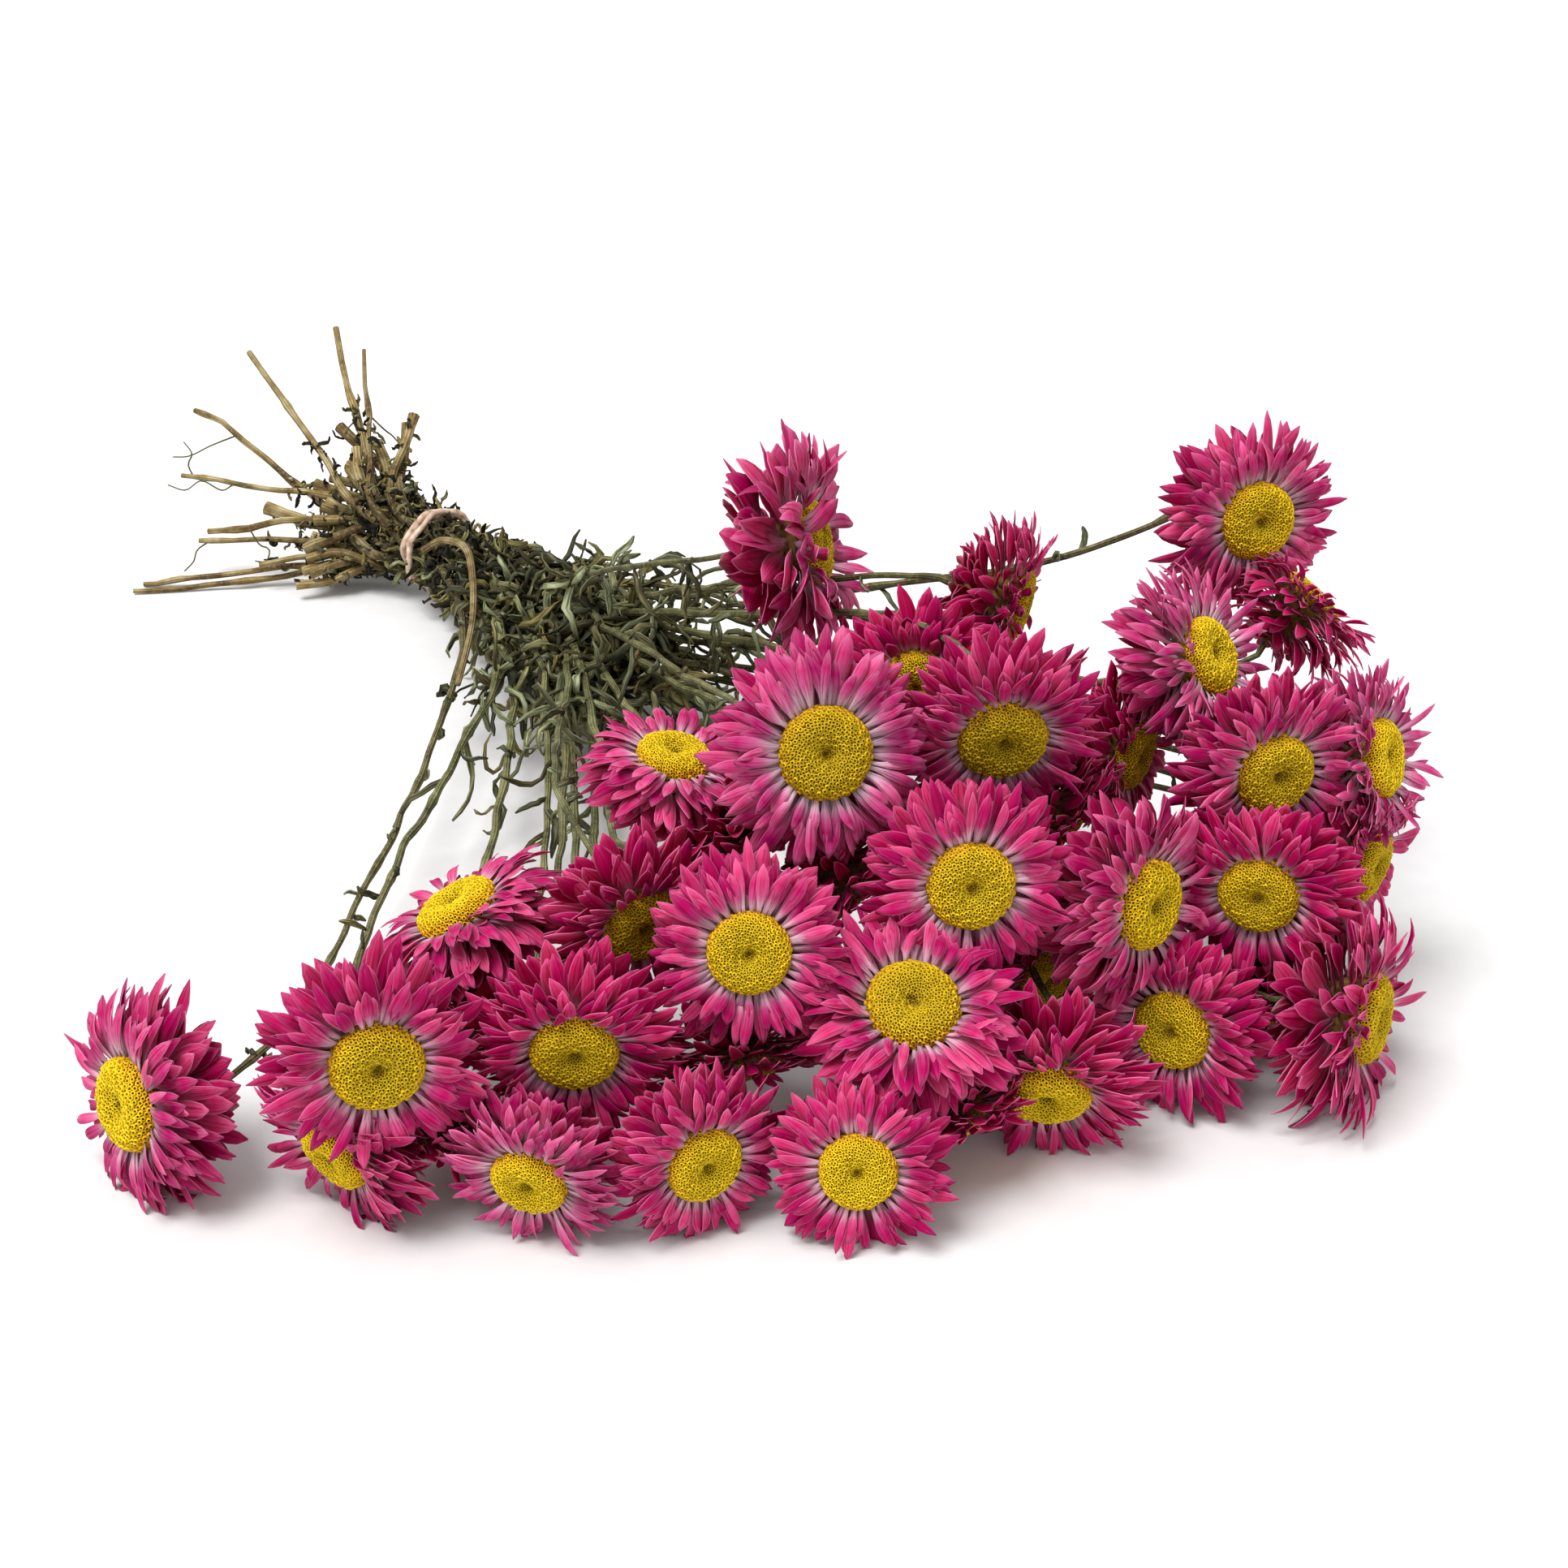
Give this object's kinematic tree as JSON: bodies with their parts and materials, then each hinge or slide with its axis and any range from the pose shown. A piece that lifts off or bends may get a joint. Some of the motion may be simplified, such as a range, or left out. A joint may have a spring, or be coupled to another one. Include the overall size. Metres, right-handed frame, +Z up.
{
  "type": "tied bunch of dried everlasting flowers",
  "caption": "Tied bunch of dried pink everlasting flowers lying down, with papery heads round yellow discs, thin stems, small grey-green leaves and a narrow band.",
  "frame": {"origin": "middle of the bunch's footprint, on the surface it lies on", "axes": "+X from the cut ends to the flower heads, along the length; +Z up from the surface"},
  "size_m": [0.4754, 0.3096, 0.1163],
  "materials": {
    "bracts": "dry papery pink, satin sheen",
    "disc": "matte yellow florets",
    "stem": "dry ribbed olive brown",
    "leaf": "dry matte grey-green",
    "tie": "matte pinkish beige"
  },
  "bodies": {
    "root": {"head_01": "bracts", "head_02": "bracts", "head_03": "bracts", "head_04": "bracts", "head_05": "bracts", "head_06": "bracts", "head_07": "bracts", "head_08": "bracts", "head_09": "bracts", "head_10": "bracts", "head_11": "bracts", "head_12": "bracts", "head_13": "bracts", "head_14": "bracts", "head_15": "bracts", "head_16": "bracts", "head_17": "bracts", "head_18": "bracts", "head_19": "bracts", "head_20": "bracts", "head_21": "bracts", "head_22": "bracts", "head_23": "bracts", "head_24": "bracts", "head_25": "bracts", "head_26": "bracts", "head_27": "bracts", "head_28": "bracts", "head_29": "bracts", "stem_01": "stem", "stem_02": "stem", "stem_03": "stem", "stem_04": "stem", "stem_05": "stem", "stem_06": "stem", "stem_07": "stem", "stem_08": "stem", "stem_09": "stem", "stem_10": "stem", "stem_11": "stem", "stem_12": "stem", "stem_13": "stem", "stem_14": "stem", "stem_15": "stem", "stem_16": "stem", "stem_17": "stem", "stem_18": "stem", "stem_19": "stem", "stem_20": "stem", "stem_21": "stem", "stem_22": "stem", "stem_23": "stem", "stem_24": "stem", "stem_25": "stem", "stem_26": "stem", "stem_27": "stem", "stem_28": "stem", "stem_29": "stem", "leaf_mass": "leaf", "tie_band": "tie"}
  },
  "joints": []
}
